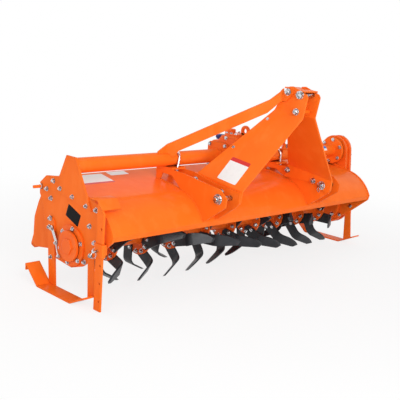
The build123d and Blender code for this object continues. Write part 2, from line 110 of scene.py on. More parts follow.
class Finish:
    """The nodes of a material or a world: node() adds any node, shade() ends them in a paint."""

    def __init__(self, owner, last="ShaderNodeOutputMaterial"):
        self.owner = owner
        self.owner.use_nodes = True
        self.tree = self.owner.node_tree
        self.tree.nodes.clear()
        self.last = self.tree.nodes.new(last)
        self.place = self.node("ShaderNodeTexCoord", output="Object")

    def node(self, kind, settings=None, inputs=None, output=0):
        """Adds a node: its settings first, a ramp's stops among them, then its values and links."""
        made = self.tree.nodes.new(kind)
        for key, value in (settings or {}).items():
            if key == "stops":
                ramp = made.color_ramp.elements
                while len(ramp) < len(value):
                    ramp.new(0.5)
                for element, (position, colour) in zip(ramp, value):
                    element.position = position
                    element.color = (*colour, 1.0)
            else:
                setattr(made, key, value)
        for key, value in (inputs or {}).items():
            if isinstance(value, Wire):
                self.tree.links.new(value.socket, made.inputs[key])
            else:
                made.inputs[key].default_value = value
        return Wire(self, made.outputs[output])

    def noise(self, scale, detail=2.0, rough=0.5, stretch=None, output="Fac"):
        """Cloudy noise in object space; stretch scales it unevenly along x, y and z."""
        where = self.place
        if stretch:
            where = self.node("ShaderNodeMapping", inputs={"Vector": where, "Scale": stretch})
        values = {"Vector": where, "Scale": scale, "Detail": detail, "Roughness": rough}
        return self.node("ShaderNodeTexNoise", inputs=values, output=output)

    def step(self, value, low, high):
        """0 below low, 1 above high and a smooth rise between them."""
        values = {"Value": value, "From Min": low, "From Max": high}
        settings = {"interpolation_type": "SMOOTHSTEP"}
        return self.node("ShaderNodeMapRange", settings, values)

    def mix(self, factor, first, second):
        """A colour between two colours, each of them a triple or a wire."""
        pair = [c if isinstance(c, Wire) else (*c, 1.0) for c in (first, second)]
        return self.node("ShaderNodeMix", {"data_type": "RGBA"}, {0: factor, 6: pair[0], 7: pair[1]}, 2)

    def edges(self, radius):
        """The normal rounded over edges, and a mask that is 1 where it leaves the face's own normal."""
        eased = self.node("ShaderNodeBevel", {"samples": 4}, {"Radius": radius})
        own = self.node("ShaderNodeNewGeometry", output="Normal")
        settings = {"operation": "DOT_PRODUCT"}
        along = self.node("ShaderNodeVectorMath", settings, {0: eased, 1: own}, "Value")
        return eased, self.step(1 - along, 0.01, 0.16)

    def painted_corner_shade(self, reach):
        """A mask for shade painted into a colour: 1 deep in a corner, where little light reaches."""
        open_sky = self.node("ShaderNodeAmbientOcclusion", {"samples": 6}, {"Distance": reach}, "AO")
        return self.step(1 - open_sky, 0.38, 0.95)

    def bump(self, height, distance, strength=1.0, over=None):
        values = {"Height": height, "Distance": distance, "Strength": strength}
        if over:
            values["Normal"] = over
        return self.node("ShaderNodeBump", inputs=values)

    def shade(self, **sockets):
        """Ends the finish in a Principled shader, its sockets given by name with _ for a space."""
        values = {key.replace("_", " "): value for key, value in sockets.items()}
        self.end(self.node("ShaderNodeBsdfPrincipled", inputs=values, output="BSDF"))
        return self.owner

    def end(self, shader):
        """Makes a shader the surface."""
        self.tree.links.new(shader.socket, self.last.inputs["Surface"])

    def seen(self):
        """1 on camera, glossy and transmission rays, which see the backdrop as it is."""
        kinds = ("Camera", "Glossy", "Transmission")
        rays = [self.node("ShaderNodeLightPath", output=f"Is {kind} Ray") for kind in kinds]
        return rays[0] + rays[1] + rays[2]


def sheet_paint(name, colour, paler_coat, thick):
    """Glossy paint on sheet and bar: faint cloudiness, orange peel, soft waves, edges paler in patches (partly
    wear, partly a painted highlight), chips, and painted shade in corners.
    """
    f = Finish(bpy.data.materials.new(name))
    clouds = f.noise(3.5, 3.0)
    runs = f.noise(14.0, 4.0, 0.6, (1.0, 1.0, 0.35))
    eased, rim = f.edges(0.0022)
    coat = f.mix(f.step(clouds, 0.3, 0.7), colour, thick)
    coat = f.mix(f.step(runs, 0.45, 0.75) * 0.35, coat, paler_coat)
    # The edges pale in patches to the paler coat: partly wear, partly a painted highlight along them.
    rubbed_and_highlit_edge = rim * f.step(f.noise(60.0, 3.0, 0.65), 0.35, 0.75)
    coat = f.mix(rubbed_and_highlit_edge * 0.55, coat, paler_coat)
    chips = rim * f.step(f.noise(210.0, 2.0), 0.69, 0.74)
    coat = f.mix(chips * 0.8, coat, (0.30, 0.12, 0.07))
    # Painted shade: the coat darkens to a deep red-brown in corners and gaps, more in some places than others.
    painted_shade = f.painted_corner_shade(0.02) * (0.7 + f.noise(40.0, 3.0) * 0.5)
    coat = f.mix(painted_shade * 0.9, coat, (0.20, 0.012, 0.002))
    waves = f.bump(f.noise(5.0, 1.0), 0.004, 0.3, eased)
    peel = f.bump(f.noise(420.0, 1.0), 0.0002, 0.22, waves)
    rough = 0.27 + f.noise(22.0, 3.0) * 0.14 + chips * 0.3
    return f.shade(
        Base_Color=coat, Roughness=rough, Normal=peel,
        Specular_IOR_Level=0.035, Coat_Weight=0.11, Coat_Roughness=0.12,
    )


def cast_paint(name, colour, paler_coat, thick):
    """The same paint over castings: sand grain under it, painted shade in the hollows, and rims paler in patches,
    partly wear and partly a painted highlight.
    """
    f = Finish(bpy.data.materials.new(name))
    clouds = f.noise(9.0, 4.0)
    eased, rim = f.edges(0.004)
    coat = f.mix(f.step(clouds, 0.3, 0.7), colour, thick)
    # The rims pale in patches: partly wear, partly a painted highlight along them.
    coat = f.mix(rim * f.step(f.noise(45.0, 3.0, 0.6), 0.3, 0.7) * 0.6, coat, paler_coat)
    # Painted shade: the coat darkens to a deep red-brown in hollows and corners, more in some places than others.
    painted_shade = f.painted_corner_shade(0.022) * (0.6 + f.noise(50.0, 3.0) * 0.6)
    coat = f.mix(painted_shade * 0.85, coat, (0.17, 0.012, 0.003))
    grain = f.noise(170.0, 4.0, 0.6)
    pits = f.step(f.noise(320.0, 2.0), 0.62, 0.78)
    skin = f.bump(grain, 0.0012, 0.35, eased)
    skin = f.bump(1 - pits, 0.0006, 0.3, skin)
    rough = 0.32 + f.noise(30.0, 3.0) * 0.18
    return f.shade(
        Base_Color=coat, Roughness=rough, Normal=skin,
        Specular_IOR_Level=0.1, Coat_Weight=0.14, Coat_Roughness=0.18,
    )


def blade_black(name):
    """Dipped black paint on forged blades: blue-black, a little uneven, and grey in patches at the edges, partly
    wear and partly a painted highlight.
    """
    f = Finish(bpy.data.materials.new(name))
    eased, rim = f.edges(0.0018)
    clouds = f.step(f.noise(12.0, 4.0), 0.3, 0.75)
    coat = f.mix(clouds, (0.0085, 0.0095, 0.0125), (0.022, 0.024, 0.030))
    # The edges turn grey in patches: partly wear, partly a painted highlight along them.
    grey_worn_and_highlit_edge = rim * f.step(f.noise(70.0, 4.0, 0.7), 0.42, 0.66)
    coat = f.mix(grey_worn_and_highlit_edge * 0.55, coat, (0.16, 0.16, 0.17))
    scale = f.bump(f.noise(240.0, 3.0), 0.0005, 0.3, eased)
    rough = 0.33 + f.noise(26.0, 4.0) * 0.22
    return f.shade(
        Base_Color=coat, Roughness=rough, Normal=scale,
        Specular_IOR_Level=0.3, Coat_Weight=0.12, Coat_Roughness=0.2,
    )


def zinc(name, painted_dark_reflection):
    """Bright zinc plating: faint blue and straw tints, fine grain, greyed patches painted in as dark reflections,
    and edges painted paler as a highlight.
    """
    f = Finish(bpy.data.materials.new(name))
    eased, rim = f.edges(0.0009)
    tint = f.mix(f.step(f.noise(55.0, 3.0), 0.35, 0.7), (0.70, 0.72, 0.77), (0.76, 0.74, 0.69))
    # Painted reflection: dark grey patches stand in for darker surroundings seen in the metal, their share given
    # by the second argument.
    tint = f.mix(f.step(f.noise(105.0, 3.0, 0.6), 0.44, 0.56) * painted_dark_reflection, tint, (0.13, 0.135, 0.16))
    # A painted highlight: the tint pales to near white along the edges.
    tint = f.mix(rim * 0.6, tint, (0.94, 0.95, 0.97))
    grain = f.bump(f.noise(900.0, 2.0), 0.0001, 0.3, eased)
    rough = 0.16 + f.noise(120.0, 3.0) * 0.16
    return f.shade(Base_Color=tint, Metallic=1.0, Roughness=rough, Normal=grain)


def turned_steel(name):
    """Machined steel with an oil film: fine turning lines across the shaft and a few dull patches."""
    f = Finish(bpy.data.materials.new(name))
    eased, rim = f.edges(0.0008)
    lines = f.noise(60.0, 2.0, 0.5, (1.0, 26.0, 1.0))
    patches = f.step(f.noise(28.0, 4.0), 0.45, 0.75)
    tint = f.mix(patches * 0.6, (0.56, 0.55, 0.54), (0.33, 0.31, 0.29))
    # A painted highlight: the tint pales along the edges.
    tint = f.mix(rim * 0.4, tint, (0.72, 0.72, 0.72))
    marks = f.bump(lines, 0.0002, 0.4, eased)
    rough = 0.24 + patches * 0.16 + lines * 0.08
    return f.shade(Base_Color=tint, Metallic=1.0, Roughness=rough, Normal=marks)


def blue_cap(name):
    """Moulded dark blue plastic with a fine texture and dusty flats."""
    f = Finish(bpy.data.materials.new(name))
    eased, rim = f.edges(0.001)
    dust = f.step(f.noise(35.0, 4.0), 0.45, 0.8)
    tint = f.mix(dust * 0.4, (0.010, 0.022, 0.19), (0.05, 0.065, 0.2))
    # A painted highlight: the blue pales along the edges.
    tint = f.mix(rim * 0.35, tint, (0.06, 0.09, 0.34))
    texture = f.bump(f.noise(700.0, 2.0), 0.0002, 0.3, eased)
    return f.shade(Base_Color=tint, Roughness=0.36 + dust * 0.2, Normal=texture)


def film(name, middle, up, tall, ground, band, band_from, gloss=0.3):
    """A blank printed film: a plain ground with one plain band from band_from of its height up.

    The height on the film is the dot product of the place less the film's middle with its upward
    direction, over its whole height; the ground yellows a little in cloudy patches."""
    f = Finish(bpy.data.materials.new(name))
    values = {0: f.place, 1: tuple(middle)}
    local = f.node("ShaderNodeVectorMath", {"operation": "SUBTRACT"}, values)
    settings = {"operation": "DOT_PRODUCT"}
    height = f.node("ShaderNodeVectorMath", settings, {0: local, 1: tuple(up)}, "Value") / tall + 0.5
    aged = f.step(f.noise(40.0, 4.0), 0.4, 0.8)
    paper = f.mix(aged * 0.5, ground, tuple(0.9 * c for c in ground))
    colour = f.mix(height > band_from, paper, band)
    colour = f.mix(f.step(f.noise(300.0, 3.0), 0.72, 0.78) * 0.25, colour, (0.5, 0.3, 0.2))
    ripple = f.bump(f.noise(25.0, 2.0), 0.0008, 0.25)
    rough = 0.24 + f.noise(90.0, 2.0) * 0.12
    return f.shade(Base_Color=colour, Roughness=rough, Normal=ripple, Specular_IOR_Level=gloss)


orange = sheet_paint("orange_sheet_paint", (0.94, 0.165, 0.014), (1.0, 0.23, 0.04), (0.89, 0.145, 0.011))
cast = cast_paint("orange_cast_paint", (0.94, 0.155, 0.014), (1.0, 0.23, 0.045), (0.88, 0.13, 0.010))
black = blade_black("black_blade_paint")
plated = zinc("bright_zinc", 0.85)
plain_zinc = zinc("plain_zinc", 0.2)
steel = turned_steel("turned_steel")
finish_of = {
    "orange_paint": orange,
    "cast_paint": cast,
    "tine_steel": black,
    "zinc_plate": plated,
    "bare_steel": steel,
}
for node, solid in frame["nodes"].items():
    solid.data.materials.clear()
    solid.data.materials.append(finish_of[node_slot[node]])
for painted in ("hinge_rod", "mast_spacers"):
    frame["nodes"][painted].data.materials[0] = orange

# ---------------- surfaces


def in_scene(name, data):
    """An object of the scene made from its data."""
    made = bpy.data.objects.new(name, data)
    bpy.context.collection.objects.link(made)
    return made


def turns(count):
    """Equal steps round a circle, in radians."""
    return np.arange(count) * 2 * math.pi / count


def basis(normal, spin=0.0):
    """Two directions square to the normals and to each other, turned by spin about them."""
    normal = np.atleast_2d(np.asarray(normal, float))
    helper = np.where(np.abs(normal[:, 2:3]) > 0.9, BACK, UP)
    side = np.cross(helper, normal)
    side /= np.linalg.norm(side, axis=1, keepdims=True)
    other = np.cross(normal, side)
    c = np.cos(spin)[:, None] if np.ndim(spin) else math.cos(spin)
    s = np.sin(spin)[:, None] if np.ndim(spin) else math.sin(spin)
    return side * c + other * s, other * c - side * s, normal


def arc(turn, radius, middle=(0, 0)):
    """Points of (y, z) round a middle: the radius times the cosine and sine of each angle."""
    return np.stack([middle[0] + radius * np.cos(turn), middle[1] + radius * np.sin(turn)], axis=-1)


def stamp(form, places, normal, spin=0.0):
    """Sets a form of (rows, columns, 3) in millimetres at many places, its third axis on the normal."""
    places = np.atleast_2d(places)
    side, other, out = [np.broadcast_to(v, places.shape) for v in basis(normal, spin)]
    axes = np.stack([side, other, out], axis=1)
    return places[:, None, None, :] + np.einsum("rcj,mjk->mrck", form, axes) / 1000


def sweep(path, outline, closed=False):
    """Carries an outline of (points, 2) in millimetres along a path of metres.

    The frame on the path is its tangent, the tangent's cross product with the direction least
    along the whole path, and their cross product."""
    path = np.asarray(path, float)
    ahead = np.roll(path, -1, 0) - np.roll(path, 1, 0)
    if not closed:
        ahead[0] = path[1] - path[0]
        ahead[-1] = path[-1] - path[-2]
    ahead /= np.linalg.norm(ahead, axis=1, keepdims=True)
    helper = np.eye(3)[np.argmin(np.abs(ahead).max(axis=0))]
    side = np.cross(ahead, helper)
    side /= np.linalg.norm(side, axis=1, keepdims=True)
    other = np.cross(side, ahead)
    if outline.ndim == 2:
        outline = np.broadcast_to(outline, (len(path), *outline.shape))
    across = outline[..., :1] * side[:, None, :] + outline[..., 1:] * other[:, None, :]
    return (path[:, None, :] + across / 1000)[None]


def ring(radius, count=12):
    """A circle of count points, radius times the cosine and sine of equal turns."""
    turn = turns(count)
    return np.stack([np.cos(turn), np.sin(turn)], axis=-1) * np.asarray(radius)[..., None, None]


def capped(grid):
    """Closes both ends of a swept grid with a pole at the middle of each end row."""
    first = np.repeat(grid[:, :1].mean(axis=2, keepdims=True), grid.shape[2], axis=2)
    last = np.repeat(grid[:, -1:].mean(axis=2, keepdims=True), grid.shape[2], axis=2)
    return np.concatenate([first, grid, last], axis=1)


def lathe(profile, count=24, hexagon_rows=()):
    """Radii and heights carried round an axis, a form of (rows, columns, 3).

    On a hexagon row the radius is the row's own times 1 over the cosine of the angle from the
    nearest flat, so that the row's radius is the half width across flats."""
    turn = turns(count)
    rows = np.array(profile, float)
    radius = np.repeat(rows[:, :1], count, axis=1)
    height = np.repeat(rows[:, 1:], count, axis=1)
    nearest = (turn + math.pi / 6) % (math.pi / 3) - math.pi / 6
    for row in hexagon_rows:
        radius[row] /= np.cos(nearest)
    return np.stack([radius * np.cos(turn), radius * np.sin(turn), height], axis=-1)


def add_mesh(name, points, faces, finish, body="frame"):
    """Makes a mesh that rides on a body: points that lie together are merged, faces turned out."""
    mesh = bpy.data.meshes.new(name)
    mesh.from_pydata(points.tolist(), [], faces.tolist())
    shell = bmesh.new()
    shell.from_mesh(mesh)
    bmesh.ops.remove_doubles(shell, verts=shell.verts, dist=1e-6)
    bmesh.ops.dissolve_degenerate(shell, edges=shell.edges, dist=1e-7)
    bmesh.ops.recalc_face_normals(shell, faces=shell.faces)
    shell.to_mesh(mesh)
    shell.free()
    mesh.materials.append(finish)
    made = in_scene(name, mesh)
    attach(made, body)
    return made


def piece(name, grids, finish=plated, body="frame", crease=32.0, loop=False):
    """Joins grids of (copies, rows, columns, 3) in metres into one mesh that rides on a body.

    Where nothing else is said it is a set of small zinc-plated parts on the frame.
    A face joins each point to the next along its row and the next row; every row is closed, and so
    is the column where loop is true. Points that lie together become one, which closes the poles."""
    points = []
    faces = []
    total = 0
    for grid in grids:
        copies, rows, columns = grid.shape[:3]
        index = total + np.arange(copies * rows * columns).reshape(copies, rows, columns)
        beside = np.roll(index, -1, axis=2)
        if loop:
            corners = [index, beside, np.roll(beside, -1, axis=1), np.roll(index, -1, axis=1)]
        else:
            corners = [index[:, :-1], beside[:, :-1], beside[:, 1:], index[:, 1:]]
        faces.append(np.stack(corners, axis=-1).reshape(-1, 4))
        points.append(grid.reshape(-1, 3))
        total += copies * rows * columns
    made = add_mesh(name, np.concatenate(points), np.concatenate(faces), finish, body)
    made.data.shade_smooth()
    made.data.set_sharp_from_angle(angle=math.radians(crease))
    return made


# ---------------- fasteners


def nut(thread):
    """A washer, a hexagon nut with its corners taken off, and the end of the thread."""
    flat = thread * 0.9
    under = [(0, -1), (thread * 1.3, -1), (thread * 1.3, thread * 0.2)]
    hexagon = [(flat, thread * 0.22), (flat, thread * 0.9), (flat * 0.94, thread * 1.08)]
    end = [(thread * 0.5, thread * 1.08), (thread * 0.5, thread * 1.5), (0, thread * 1.55)]
    return lathe(under + hexagon + end, 12, (3, 4))


def head(thread):
    """A washer and a hexagon head, rounded over at the top."""
    flat = thread * 0.9
    under = [(0, -1), (thread * 1.25, -1), (thread * 1.25, thread * 0.18)]
    hexagon = [(flat, thread * 0.2), (flat, thread * 0.72), (flat * 0.93, thread * 0.85)]
    return lathe(under + hexagon + [(0, thread * 0.88)], 12, (3, 4))


def spins(count):
    """A different turn for each bolt, so that no two hexagons stand alike: multiples of 1 radian."""
    return np.arange(count) * 1.0


def fasten(form, x, places, normal):
    """Stamps one form on the plane x, at places of (y, z)."""
    y, z = np.array(places, float).T
    return stamp(form, at(x, y, z), normal, spins(len(places)))


def circle_places(centre, radius, start, count):
    """Places of (y, z) at equal steps round a circle from the start angle, in degrees."""
    return arc(np.radians(start + np.arange(count) * 360 / count), radius, centre)


def drawn(node, corner, axis):
    """One side of a node's box, in millimetres from the rotor axis."""
    return (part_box(node)[corner][axis] - rotor_axis[axis]) * 1000


def centre_of(node, axis):
    """The middle of a node's box along one axis, in millimetres from the rotor axis."""
    return (drawn(node, 0, axis) + drawn(node, 1, axis)) / 2


plate_out = -drawn("side_plate_left", 0, 0)
bracket_out = -drawn("tube_bracket", 0, 0)
upright_out = bracket_out
hood_half = drawn("hood", 1, 0)
plate_bolts = [(175, 289), (233, 239), (192, 198), (-182, 214), (-180, 56)]
low_bolts = [(-138, 128), (-184, 20), (-106, -56)]
skid_bolts = [(-165, -8), (187, 52), (182, 98)]
skid_heel_bolt = [(168, -100)]

piece(
    "side_plate_nuts",
    [
        fasten(nut(10), -plate_out, plate_bolts + low_bolts, LEFT),
        fasten(nut(10), plate_out, plate_bolts, RIGHT),
        fasten(head(10), -hood_half, plate_bolts[:1] + low_bolts, RIGHT),
        fasten(head(10), hood_half, plate_bolts[:1] + low_bolts, LEFT),
    ],
)
bracket_bolts = [(105, 264), (0, 243), (-112, 220)]
piece("bracket_nuts", [fasten(nut(9), -bracket_out, bracket_bolts, LEFT)])
piece(
    "skid_nuts",
    [
        fasten(nut(10), -upright_out, skid_bolts, LEFT),
        fasten(nut(10), upright_out, skid_bolts, RIGHT),
        fasten(nut(9), -upright_out, skid_heel_bolt, LEFT),
        fasten(nut(9), upright_out, skid_heel_bolt, RIGHT),
    ],
)

bearing_face = plate_out + 11
bearing_in = drawn("bearing_right", 0, 0)
piece(
    "bearing_bolts",
    [
        fasten(head(9.5), -bearing_face, circle_places((0, 0), 89, 41, 6), LEFT),
        fasten(head(11), bearing_in, circle_places((0, 0), 86, 41, 6), LEFT),
    ],
)

# The frame tube: its left half is -1 and its right half 1, which stands a little lower
tube_z = {-1: centre_of("main_tube", 2), 1: centre_of("drive_tube", 2)}
tube_y = 5
tube_r = 38
flange_out = 88
flange_half = 76
disc_in, disc_out = 1028, 1048

flange_bolts = [
    fasten(head(9.5), side * flange_out, circle_places((tube_y, tube_z[side]), 85, 45, 4), RIGHT * side)
    for side in (-1, 1)
]
end_disc_bolts = fasten(head(10), disc_in, circle_places((tube_y, tube_z[1]), 74, 37, 6), LEFT)
piece("tube_flange_bolts", [*flange_bolts, end_disc_bolts])

case_top_r, case_low_r = 100, 128


def hull_places(count, inset):
    """Equal steps along the belt round the two circles of the gear case, inset from its edge.

    The belt is the upper circle's arc, a straight run, the lower circle's arc and a straight run;
    its corners' lengths are summed and each step is read off by interpolation."""
    high_r = case_top_r - inset
    low_r = case_low_r - inset
    rise = math.hypot(tube_y, tube_z[1])
    lean = math.asin((low_r - high_r) / rise)
    tilt = math.atan2(tube_z[1], tube_y)
    top = np.linspace(tilt - math.pi / 2 - lean, tilt + math.pi / 2 + lean, 40)
    low = np.linspace(tilt + math.pi / 2 + lean, tilt + 1.5 * math.pi - lean, 40)
    top_arc = arc(top, high_r, (tube_y, tube_z[1]))
    belt = np.concatenate([top_arc, arc(low, low_r), top_arc[:1]])
    run = np.concatenate([[0], np.cumsum(np.linalg.norm(np.diff(belt, axis=0), axis=1))])
    steps = (np.arange(count) + 0.5) / count * run[-1]
    return np.stack([np.interp(steps, run, belt[:, 0]), np.interp(steps, run, belt[:, 1])], axis=-1)


case_out = drawn("gear_case", 1, 0) - 16
cap_out = case_out + 15
piece(
    "gear_case_bolts",
    [
        fasten(head(8), case_out, hull_places(20, 8), RIGHT),
        fasten(head(10), cap_out, circle_places((0, 0), 38, 20, 6), RIGHT),
        fasten(head(8), cap_out, circle_places((tube_y, tube_z[1]), 28, 0, 4), RIGHT),
    ],
)

# ---------------- gearbox and frame tubes


def rounded(corners, radius, steps=5):
    """A polygon with its corners rounded off, each by a parabola.

    With a and b the points a radius before and after the corner c, the parabola is
    (1 - t)^2 a + 2 t (1 - t) c + t^2 b for t from 0 to 1."""
    c = np.asarray(corners, float)
    before = np.roll(c, 1, 0) - c
    after = np.roll(c, -1, 0) - c
    a = (c + before / np.linalg.norm(before, axis=1, keepdims=True) * radius)[:, None]
    b = (c + after / np.linalg.norm(after, axis=1, keepdims=True) * radius)[:, None]
    t = np.linspace(0, 1, steps)[:, None]
    return ((1 - t) ** 2 * a + 2 * t * (1 - t) * c[:, None] + t**2 * b).reshape(-1, 2)


def rectangle(low, high, radius, steps=5):
    """A rectangle between two opposite corners, its corners rounded off."""
    return rounded([low, (high[0], low[1]), high, (low[0], high[1])], radius, steps)


def upwards(z, x, y):
    """Place for a slab whose rows go up."""
    return at(x, y, z)


def slab(outline, rows, place=at):
    """An outline carried along its third direction, x unless place says otherwise.

    Each row is (position, inset): the outline's points moved in by the inset along its normals. Both
    ends are closed."""
    ahead = np.roll(outline, -1, 0) - np.roll(outline, 1, 0)
    ahead /= np.linalg.norm(ahead, axis=1, keepdims=True)
    area = np.sum(outline[:, 0] * np.roll(outline[:, 1], -1) - outline[:, 1] * np.roll(outline[:, 0], -1))
    inward = np.stack([-ahead[:, 1], ahead[:, 0]], axis=-1) * np.sign(area)
    return capped(np.stack([place(x, *(outline + inset * inward).T) for x, inset in rows])[None])


def joined(grid):
    """Repeats the first row after the last, so that a closed sweep meets itself."""
    return np.concatenate([grid, grid[:, :1]], axis=1)


casing_half = 72
cover_out = casing_half + 4.5
lid_top = 524
boss_y = -150
shaft_z = centre_of("pto_shaft", 2)
eye_y, eye_z, eye_r = -121, 546, 21.5
casing_back = [(95, 285), (95, 440), (66, 474), (16, 484), (-2, 512)]
casing_front = [(-116, 512), (boss_y, 466), (boss_y, 312), (-126, 250)]
cover_back = [(84, 330), (84, 434), (60, 463), (8, 474), (-8, 502)]
cover_front = [(-110, 502), (-140, 462), (-140, 330)]
casing_side = rounded(casing_back + casing_front, 12)
cover_side = rounded(cover_back + cover_front, 12)
lid_side = rectangle((-62, -108), (62, -14), 16)
dome_side = rectangle((-27, -30), (27, 18), 12)
rib_side = rounded([(92, 312), (121, 312), (121, 400), (92, 434)], 4, 3)
eye_path = at(0, *arc(turns(36), eye_r, (eye_y, eye_z)).T)
eye_section = rectangle((-8.5, -7), (8.5, 7), 2.2, 3)
eye_foot = rounded([(-152, 500), (-82, 500), (-94, 534), (-148, 534)], 3, 3)
boss_foot = [(0, -4), (74, -4), (74, 12), (71.5, 15), (61, 16.5), (58, 20)]
boss_neck = [(55, 40), (51.5, 45), (25, 45), (23.5, 43), (23.5, 6), (0, 6)]
boss = lathe(boss_foot + boss_neck, 48)
casting = [
    slab(casing_side, [(-casing_half, 7), (-casing_half + 7, 0), (casing_half - 7, 0), (casing_half, 7)]),
    slab(lid_side, [(lid_top - 18, 0), (lid_top - 2, 0), (lid_top, 2)], upwards),
    slab(dome_side, [(470, 0), (538, 1), (543, 3), (545, 7)], upwards),
    slab(rib_side, [(-6, 1.5), (-4.5, 0), (4.5, 0), (6, 1.5)]),
    joined(sweep(eye_path, eye_section, closed=True)),
    slab(eye_foot, [(-7, 1), (-6, 0), (6, 0), (7, 1)]),
    stamp(boss, at([0], boss_y, shaft_z), FRONT),
]
for side in (-1, 1):
    cover = [(side * (cover_out - 6.5), 0), (side * (cover_out - 1.5), 0), (side * cover_out, 1.5)]
    casting.append(slab(cover_side, cover))
    housing = [(0, 40), (73, 40), (73, 77.5), (70, 80), (0, 80)]
    casting.append(stamp(lathe(housing, 48), at([0], tube_y, tube_z[side]), RIGHT * side))
gearbox_casting = piece("gearbox_casting", casting, cast)
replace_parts(gearbox_casting, "gearbox")

# Each half of the frame tube starts behind a square flange; the right one ends in a round disc
tube_end = -drawn("main_tube", 0, 0)
disc = [(tube_r, disc_in), (86, disc_in), (88, disc_in + 2), (88, disc_out - 2), (86, disc_out)]
run_start = [(0, flange_out - 6), (tube_r, flange_out - 6)]
run_end = {-1: [(tube_r, tube_end), (0, tube_end)], 1: [*disc, (0, disc_out)]}
flange_rows = [(flange_out - 10, 1), (flange_out - 9, 0), (flange_out - 1.5, 0), (flange_out, 1.5)]
for side, node in ((-1, "main_tube"), (1, "drive_tube")):
    flange_low = (tube_y - flange_half, tube_z[side] - flange_half)
    flange_high = (tube_y + flange_half, tube_z[side] + flange_half)
    grids = [
        stamp(lathe(run_start + run_end[side], 48), at([0], tube_y, tube_z[side]), RIGHT * side),
        slab(rectangle(flange_low, flange_high, 24), [(side * x, inset) for x, inset in flange_rows]),
    ]
    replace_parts(piece(node + "_with_flange", grids, orange), node)


def splined_shaft():
    """The input shaft: a round seat, then six splines with a locking groove and a chamfered end.

    A spline row's radius at an angle is the lesser of the row's own and 14.8 + 2.7 s, where s rises
    smoothly from 0 to 1 as the cosine of six times the angle goes from -0.2 to 0.2."""
    turn = turns(96)
    rise = np.clip((np.cos(6 * turn) + 0.2) / 0.4, 0, 1)
    tooth = 14.8 + 2.7 * rise**2 * (3 - 2 * rise)
    root, tip, end = 14.9, 17.5, 138
    round_rows = [(0, 9), (22, 9), (22, 47), (20.5, 48), (14.6, 49), (14.6, 52)]
    spline_rows = [(root, 52.2), (tip, 56), (tip, 104), (root, 105), (root, 111), (tip, 112)]
    spline_rows += [(tip, end - 4), (root, end)]
    form = lathe(round_rows + spline_rows + [(0, end)], 96)
    splined = slice(len(round_rows), len(round_rows) + len(spline_rows))
    radius = np.hypot(form[splined, :, 0], form[splined, :, 1])
    form[splined, :, :2] *= (np.minimum(radius, tooth) / radius)[..., None]
    return form


shaft_grid = stamp(splined_shaft(), at([0], boss_y, shaft_z), FRONT)
shaft = piece("splined_input_shaft", [shaft_grid], steel, body="pto_shaft")
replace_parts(shaft, "pto_shaft")

# Cover bolts on the sides and the lid, the boss's ring of bolts and the filler cap on the shoulder
lid_places = np.array([(x, y) for x in (-50, 50) for y in (-96, -61, -26)], float)
cover_bolts = [(-48, 499), (-128, 452), (-128, 345), (74, 345)]
boss_x, boss_z = arc(turns(6) + 0.5, 66, (0, shaft_z)).T
boss_bolts = at(boss_x, boss_y - 15.5, boss_z)
piece(
    "gearbox_bolts",
    [
        stamp(head(8), at(lid_places[:, 0], lid_places[:, 1], lid_top), UP, spins(6)),
        fasten(head(9), -cover_out, cover_bolts, LEFT),
        fasten(head(9), cover_out, cover_bolts, RIGHT),
        stamp(head(9), boss_bolts, FRONT, spins(6)),
    ],
)

# The cap's gripping rows step in and out by a twentieth from one column to the next
cap_profile = [(0, -3), (24, -3), (24, 3), (27, 5), (27, 20), (24, 24), (8, 25), (0, 24)]
grips = 40
knurl = lathe(cap_profile, grips)
knurl[3:6, :, :2] *= (1 + 0.05 * np.cos(np.arange(grips) * math.pi))[None, :, None]
blue = blue_cap("dark_blue_cap")
piece("gearbox_filler_cap", [stamp(knurl, at([-24], 45, 483), UP)], blue)

# Hitch: the pins between the paired plates, their washers and nuts, and the mast's foot bolts
hitch_y, hitch_z = centre_of("hitch_pins", 1), centre_of("hitch_pins", 2)
hitch_in, hitch_out = drawn("hitch_plate_inner_right", 1, 0), drawn("hitch_plate_outer_right", 0, 0)
plate_t = hitch_in - drawn("hitch_plate_inner_right", 0, 0)
mast_foot_in = hitch_in - 2 * plate_t
washer = lathe([(15, -1), (27, -1), (27, 3.5), (25.5, 4.5), (15, 4.5)], 28)
pin_nut_face = [(13, 0), (25, 0), (25, 2)]
pin_nut_body = [(21, 3), (21, 14), (19, 16.5), (14.5, 16.5), (14.2, 20), (12, 22), (0, 22)]
pin_nut = lathe(pin_nut_face + pin_nut_body, 24, (3, 4))
crown = lathe([(21.5, 0.2), (21, 12.6), (18.5, 15.2), (13, 15.4), (12.5, 22), (11, 24), (0, 24)], 24)
hitch_parts = []
mast_bolts = [(-150, 304), (-344, 271)]
for side in (-1, 1):
    out = RIGHT * side
    edge = side * (hitch_out + plate_t)
    hitch_parts.append(stamp(washer, at([edge], hitch_y, hitch_z), out))
    hitch_parts.append(stamp(crown, at([edge], hitch_y, hitch_z), out))
    hitch_parts.append(stamp(pin_nut, at([side * mast_foot_in], hitch_y, hitch_z), -out))
    hitch_parts.append(fasten(head(14), side * hitch_in, mast_bolts, out))
    hitch_parts.append(fasten(nut(14), side * mast_foot_in, mast_bolts, -out))
piece("hitch_pin_nuts", hitch_parts)

# Mast head: the nuts of its two spacers, the top link pin's washers and the plate across the top
head_out = drawn("brace_right", 0, 0)
link_y, link_z = centre_of("top_link_pin", 1), centre_of("top_link_pin", 2)
head_parts = []
for side in (-1, 1):
    out = RIGHT * side
    head_parts.append(fasten(nut(14), side * (head_out + plate_t), [(-449, 793)], out))
    head_parts.append(fasten(nut(14), side * head_out, [(-507, 697)], out))
    head_parts.append(stamp(washer * (0.8, 0.8, 1), at([side * head_out], link_y, link_z), out))
piece("mast_head_nuts", head_parts)
bridge_side = rounded([(-418, 818.5), (-547, 806.5), (-547, 799.5), (-418, 811.5)], 2, 3)
bridge = slab(bridge_side, [(-head_out - 0.5, 0), (head_out + 0.5, 0)])
piece("mast_head_bridge", [bridge], orange)

